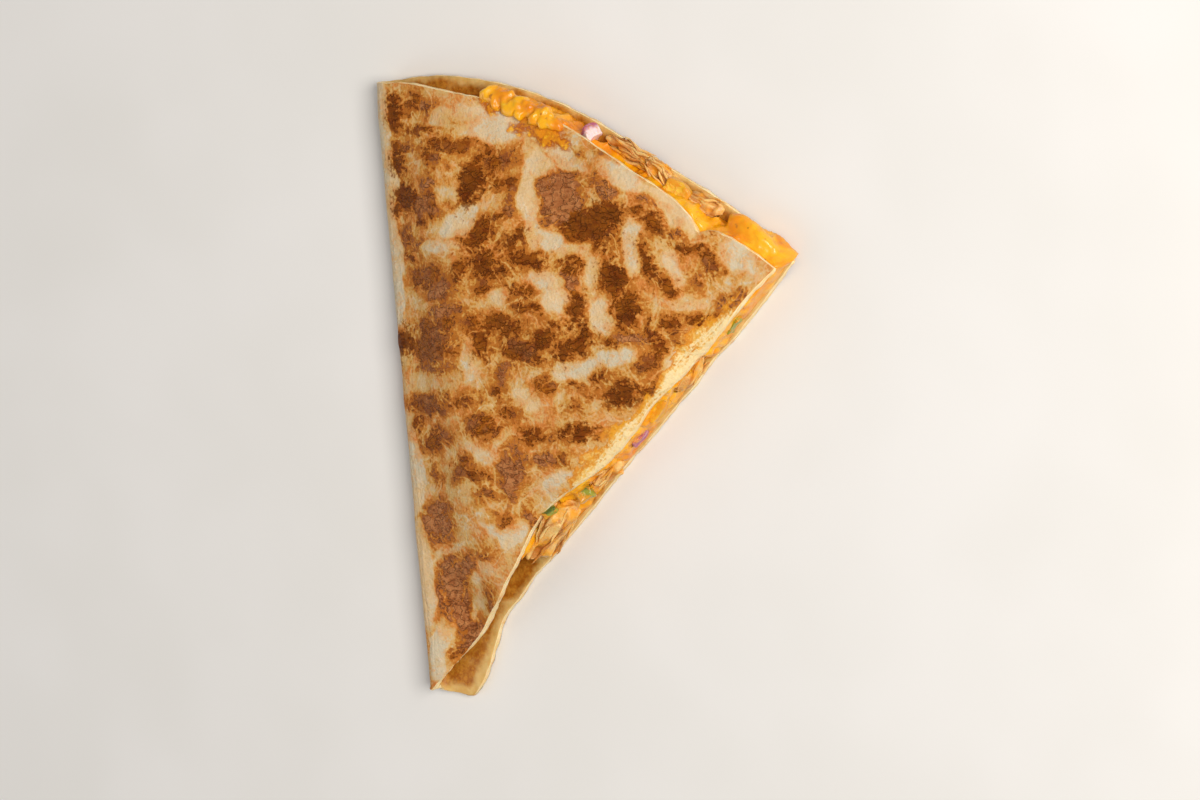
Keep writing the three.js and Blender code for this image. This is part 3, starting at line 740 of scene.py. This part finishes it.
def griddled_tortilla():
    mesh = tortilla_mesh()
    points = points_of(mesh)
    normals = normals_of(mesh)
    on_crust, on_inside, on_crumb = sides_of(mesh)
    upper = on_crust & (normals[:, 2] > 0)
    reach = np.hypot(points[:, 0], points[:, 1])
    marks = griddle_marks(points, upper, on_crumb)
    lift = dough_relief(points, normals, marks, upper, on_inside, on_crumb)
    points += normals * lift[:, None]
    tear_nick(points, reach)
    points[:, 2] = np.maximum(points[:, 2], 0)
    move_points(mesh, points)
    for name, values in marks.items():
        keep_attribute(mesh, name, values)
    piece = finished("griddled_tortilla", mesh, crust_finish(), filling_side_finish(), crumb_finish())
    serve(piece, "tortilla")


# The filling

CHEESE_VOXEL = 0.5  # cell size of the cheese's mesh
COVER = 0.8  # cheese is covered where another piece lies this close in front of it
COVER_ROUNDS = 3  # times that this is averaged over neighbouring points
GAP_CLOSED = 0.92  # covered cheese swells by this share of the fit gap
LUMP_HEIGHT = 0.75  # height of a lump of cheese for a width of 1
RAN_OUT = (8.5, 10)  # cheese that ran over the round edge lies above these heights
CORNER = (84, 96)  # towards the corner, past these distances from the fold, the cheese is smooth
CLING = 1.6  # cheese this close to a morsel is drawn onto it
LAP = 0.55  # and this far over it
NO_CLOSER = 0.1  # but less far where it is closer than this

# The seed of the first morsel's noise, and the step to the next morsel's
MORSEL_SEED = 30
MORSEL_SEED_STEP = 5

CHUNK_VOXEL = 0.32  # cell size of the mesh of a chunk of chicken
STRANDS = 20  # loose strands on each chunk of chicken
STRAND_OUT = 0.95  # how far out they lie, for a chunk with a half width of 1
STRAND_TAPER = 1.6  # thins a strand towards its ends
WANDER = 0.5  # how far chunks and strands are drawn out of line
WANDER_LENGTH = 2.6
GOLDEN_TURN = math.pi * (3 - math.sqrt(5))  # spaces the strands round the chunk
LENGTHWISE = Matrix.Rotation(math.radians(90), 4, "Y")  # turns a ball's poles to the ends of a strand

# Ranges for a strand: radians off its even spacing, place along the chunk and length for a chunk
# with a half length of 1, turns in radians, half thickness and tone
STRAND = {
    "astray": (-0.3, 0.3), "along": (-0.5, 0.5), "turn": (-0.25, 0.25), "tilt": (-0.2, 0.2),
    "girth": (0.24, 0.44), "length": (0.25, 0.55), "tone": (-0.4, 0.3),
}

# A diced piece is made as a block from -1 to 1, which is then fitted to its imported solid
DICE = {"bevel": 0.22, "size": 0.9, "warp": 0.24, "warp_length": 1.1, "curve": 0.22}


def kind_of(node):
    """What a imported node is, without its number."""
    return node.rstrip("0123456789").rstrip("_")


def neighbour_trees(node):
    """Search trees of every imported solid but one."""
    trees = []
    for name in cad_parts:
        if name != node:
            bm = bare_solid(name)
            trees.append(BVHTree.FromBMesh(bm))
            bm.free()
    return trees


def covered_share(mesh, points, normals, trees, reach):
    """1 where a piece lies within `reach` millimetres of a point, 0 where it is open, soft between."""
    covered = np.zeros(len(points))
    places = (points + TIP) * MM
    for row, (place, normal) in enumerate(zip(places, normals)):
        for tree in trees:
            if tree.ray_cast(Vector(place), Vector(normal), reach * MM)[0] is not None:
                covered[row] = 1
                break
    return spread_over(mesh, covered, COVER_ROUNDS)


def clinging(points):
    """How far the cheese is drawn onto the nearest morsel, where one is close."""
    drawn = np.zeros_like(points)
    nearest = np.full(len(points), CLING)
    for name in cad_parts:
        if kind_of(name) in ("tortilla", "cheese_filling"):
            continue
        bm = bare_solid(name)
        tree = BVHTree.FromBMesh(bm)
        bm.free()
        for row, place in enumerate((points + TIP) * MM):
            found, _, _, distance = tree.find_nearest(Vector(place), CLING * MM)
            if found is not None and distance / MM < nearest[row]:
                nearest[row] = distance / MM
                drawn[row] = (np.array(found) - place) / MM
    share = (nearest + LAP) / np.maximum(nearest, NO_CLOSER)
    return drawn * (share * (1 - step(nearest, 0.4 * CLING, CLING)))[:, None]


def melted_cheese():
    bm = bare_solid("cheese_filling")
    flat = Matrix.Diagonal((1, 1, LUMP_HEIGHT, 1))
    for *place, radius in CHEESE_LUMPS:
        pose = Matrix.Translation(Vector((np.array(place) + TIP) * MM)) @ flat
        bmesh.ops.create_icosphere(bm, subdivisions=3, radius=radius * MM, matrix=pose)
    mesh = remeshed(mesh_of(bm, "melted_cheese"), CHEESE_VOXEL)
    points = points_of(mesh)
    normals = normals_of(mesh)
    covered = covered_share(mesh, points, normals, neighbour_trees("cheese_filling"), COVER)
    lumps = relief(points, (0.8, 3.4, 21), (0.45, 1.6, 22))
    lumps += step(points[:, 2], *RAN_OUT) * relief(points, (0.6, 1.3, 24))
    lumps *= 1 - 0.75 * step(points[:, 0], *CORNER)
    pulled = relief(points, (0.2, 1.1, 23, (1, 1, 5)))
    lift = covered * GAP_CLOSED * FIT_GAP + (1 - covered) * (lumps + pulled)
    points += normals * lift[:, None]
    points += clinging(points)
    move_points(mesh, points)
    piece = finished("melted_cheese", mesh, cheese_finish())
    serve(piece, "cheese_filling")


def main_axes(points):
    """The longest, middle and shortest directions of a morsel, as right-handed columns."""
    axes = np.linalg.eigh(np.cov(points.T))[1][:, ::-1]
    axes = axes * np.sign(axes.sum(axis=0))
    axes[:, 2] *= np.sign(np.linalg.det(axes))
    return axes


def morsel_frame(node):
    """A packed morsel's middle, main axes and half sizes along them."""
    mesh = mesh_of(bare_solid(node), node)
    points = points_of(mesh)
    bpy.data.meshes.remove(mesh)
    axes = main_axes(points)
    local = points @ axes
    low, high = local.min(axis=0), local.max(axis=0)
    return axes @ ((low + high) / 2), axes, (high - low) / 2


def chicken_chunk(node, middle, axes, seed):
    """A packed chunk made lumpy and split along its fibres, with their tone: raised fibres paler and the
    splits darker, which is painted shade.
    """
    mesh = remeshed(mesh_of(bare_solid(node), node), CHUNK_VOXEL)
    local = (points_of(mesh) - middle) @ axes
    lumps = relief(local, (0.9, 4.6, seed, (1.6, 1, 1))) - 0.25
    fibres = relief(local, (0.4, 1.3, seed + 1, (5, 1, 1)), (0.16, 0.6, seed + 2, (6, 1, 1)))
    splits = (1 - abs(grain(local, 3.0, seed + 3, (3, 1, 1)))) ** 7
    lift = lumps + fibres - 0.6 * splits
    move_points(mesh, points_of(mesh) + normals_of(mesh) * lift[:, None])
    # The tone follows the relief, so the finish paints shade down in the splits.
    keep_attribute(mesh, "strand", fibres - 0.5 * splits)
    return mesh


def add_strands(bm, half, to_place, seed):
    """Lays loose strands over a chunk with the given half sizes."""
    tone = bm.verts.layers.float["strand"]
    draw = random.Random(seed)
    for index in range(STRANDS):
        bearing = index * GOLDEN_TURN + draw.uniform(*STRAND["astray"])
        along = draw.uniform(*STRAND["along"])
        out = STRAND_OUT * math.sqrt(1 - along * along)
        place = half * np.array([along, out * math.cos(bearing), out * math.sin(bearing)])
        turn = Matrix.Rotation(draw.uniform(*STRAND["turn"]), 4, "Z")
        tilt = Matrix.Rotation(draw.uniform(*STRAND["tilt"]), 4, "Y")
        girth = draw.uniform(*STRAND["girth"])
        length = half[0] * draw.uniform(*STRAND["length"])
        strand_tone = draw.uniform(*STRAND["tone"])
        size = Matrix.Diagonal((length, girth, girth, 1))
        pose = to_place @ Matrix.Translation(Vector(place)) @ turn @ tilt @ size
        ball = bmesh.ops.create_uvsphere(bm, u_segments=10, v_segments=24, radius=1, matrix=LENGTHWISE)
        for vertex in ball["verts"]:
            vertex.co.x = math.copysign(abs(vertex.co.x) ** STRAND_TAPER, vertex.co.x)
            vertex[tone] = strand_tone
        bmesh.ops.transform(bm, matrix=pose, verts=ball["verts"])


def chicken_piece(node, seed, finish):
    """A torn chunk of chicken with loose strands over it."""
    middle, axes, half = morsel_frame(node)
    chunk = chicken_chunk(node, middle, axes, seed)
    bm = bmesh.new()
    bm.from_mesh(chunk)
    bpy.data.meshes.remove(chunk)
    to_place = Matrix.Translation(Vector((middle + TIP) * MM)) @ Matrix((axes * MM).tolist()).to_4x4()
    add_strands(bm, half, to_place, seed)
    mesh = mesh_of(bm, node)
    points = points_of(mesh)
    wander = np.stack([grain(points, WANDER_LENGTH, seed + axis) for axis in range(4, 7)], axis=1)
    move_points(mesh, points + WANDER * wander)
    piece = finished(f"pulled_{node}", mesh, finish)
    serve(piece, node)


def diced_piece(node, seed, finish):
    """A diced piece of onion or pepper: an uneven, curved block with its skin on one side."""
    middle, axes, half = morsel_frame(node)
    bm = bmesh.new()
    bmesh.ops.create_cube(bm, size=2)
    bmesh.ops.bevel(
        bm, geom=bm.edges[:], offset=DICE["bevel"], offset_type="OFFSET", segments=3, profile=0.5,
        affect="EDGES", material=-1,
    )
    bmesh.ops.subdivide_edges(bm, edges=bm.edges[:], cuts=5, use_grid_fill=True)
    mesh = mesh_of(bm, node)
    normals = normals_of(mesh)
    block = coordinates_of(mesh)
    skin = block[:, 1].copy()
    uneven = np.stack([grain(block, DICE["warp_length"], seed + axis) for axis in range(3)], axis=1)
    block += DICE["warp"] * uneven
    block[:, 1] -= DICE["curve"] * (block[:, 0] ** 2 - 1 / 3)
    local = DICE["size"] * half * block
    lift = relief(local, (0.16, 1.8, seed), (0.1, 0.8, seed + 1))
    local += normals * lift[:, None]
    move_points(mesh, local @ axes.T + middle)
    keep_attribute(mesh, "skin", skin)
    piece = finished(f"diced_{node}", mesh, finish)
    serve(piece, node)


def morsels():
    finishes = {
        "chicken": chicken_finish(),
        "red_onion": diced_finish("red_onion", shade(238, 210, 208), shade(178, 84, 116), 0.3),
        "green_pepper": diced_finish("green_pepper", shade(150, 152, 48), shade(78, 96, 18), 0.7),
        "yellow_pepper": diced_finish("yellow_pepper", shade(238, 196, 66), shade(228, 168, 16), 0.7),
    }
    for order, node in enumerate(sorted(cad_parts)):
        kind = kind_of(node)
        seed = MORSEL_SEED + MORSEL_SEED_STEP * order
        if kind == "chicken":
            chicken_piece(node, seed, finishes[kind])
        elif kind in finishes:
            diced_piece(node, seed, finishes[kind])


# The studio

TABLE_HALF = 3.0  # metres
TABLE_DROP = 0.05  # keeps the table just clear of the underside

# Square soft lights: direction from the wedge, distance and size in metres, watts and colour
LIGHTS = {
    "window": ((0.8, 0.15, 0.78), 0.9, 0.4, 7.4, (1.0, 0.97, 0.93)),
    "fill": ((-0.75, -0.25, 0.6), 1.1, 0.8, 2.4, (0.97, 0.98, 1.0)),
}
ROOM_TONE = (1.0, 0.98, 0.96, 1)
ROOM_STRENGTH = 0.3


def table():
    bm = bmesh.new()
    bmesh.ops.create_grid(bm, x_segments=8, y_segments=8, size=TABLE_HALF)
    bmesh.ops.translate(bm, verts=bm.verts, vec=(0, 0, -TABLE_DROP * MM))
    piece = finished("pale_table", mesh_of(bm, "pale_table"), table_finish())


def area_light(name, direction, distance, size, energy, tone):
    """A light that faces the wedge from a direction."""
    lamp = bpy.data.lights.new(name, "AREA")
    lamp.size = size
    lamp.energy = energy
    lamp.color = tone
    piece = bpy.data.objects.new(name, lamp)
    bpy.context.scene.collection.objects.link(piece)
    towards = Vector(direction).normalized()
    piece.location = towards * distance
    piece.rotation_mode = "QUATERNION"
    piece.rotation_quaternion = towards.to_track_quat("Z", "Y")


def studio_light():
    for name, setting in LIGHTS.items():
        area_light(name, *setting)
    world = bpy.data.worlds.new("pale_room")
    world.use_nodes = True
    background = world.node_tree.nodes["Background"]
    background.inputs["Color"].default_value = ROOM_TONE
    background.inputs["Strength"].default_value = ROOM_STRENGTH
    bpy.context.scene.world = world
    bpy.context.scene.view_settings.view_transform = "Standard"


# The camera stands where the photograph was taken from
AIM = np.array([55.8, 73.4, 6.0])
AZIMUTH = math.radians(104.3)
ELEVATION = math.radians(57.9)
ROLL = math.radians(-107.1)
CAMERA_DISTANCE = 900.0
LENS = 113.0


def camera():
    lens = bpy.data.cameras.new("camera")
    lens.lens = LENS
    piece = bpy.data.objects.new("camera", lens)
    bpy.context.scene.collection.objects.link(piece)
    level = math.cos(ELEVATION)
    back = Vector((math.sin(AZIMUTH) * level, -math.cos(AZIMUTH) * level, math.sin(ELEVATION)))
    turn = back.to_track_quat("Z", "Y").to_matrix() @ Matrix.Rotation(ROLL, 3, "Z")
    piece.rotation_mode = "QUATERNION"
    piece.rotation_quaternion = turn.to_quaternion()
    piece.location = Vector((AIM + TIP) * MM) + back * CAMERA_DISTANCE * MM
    bpy.context.scene.camera = piece


griddled_tortilla()
melted_cheese()
morsels()
table()
studio_light()
camera()
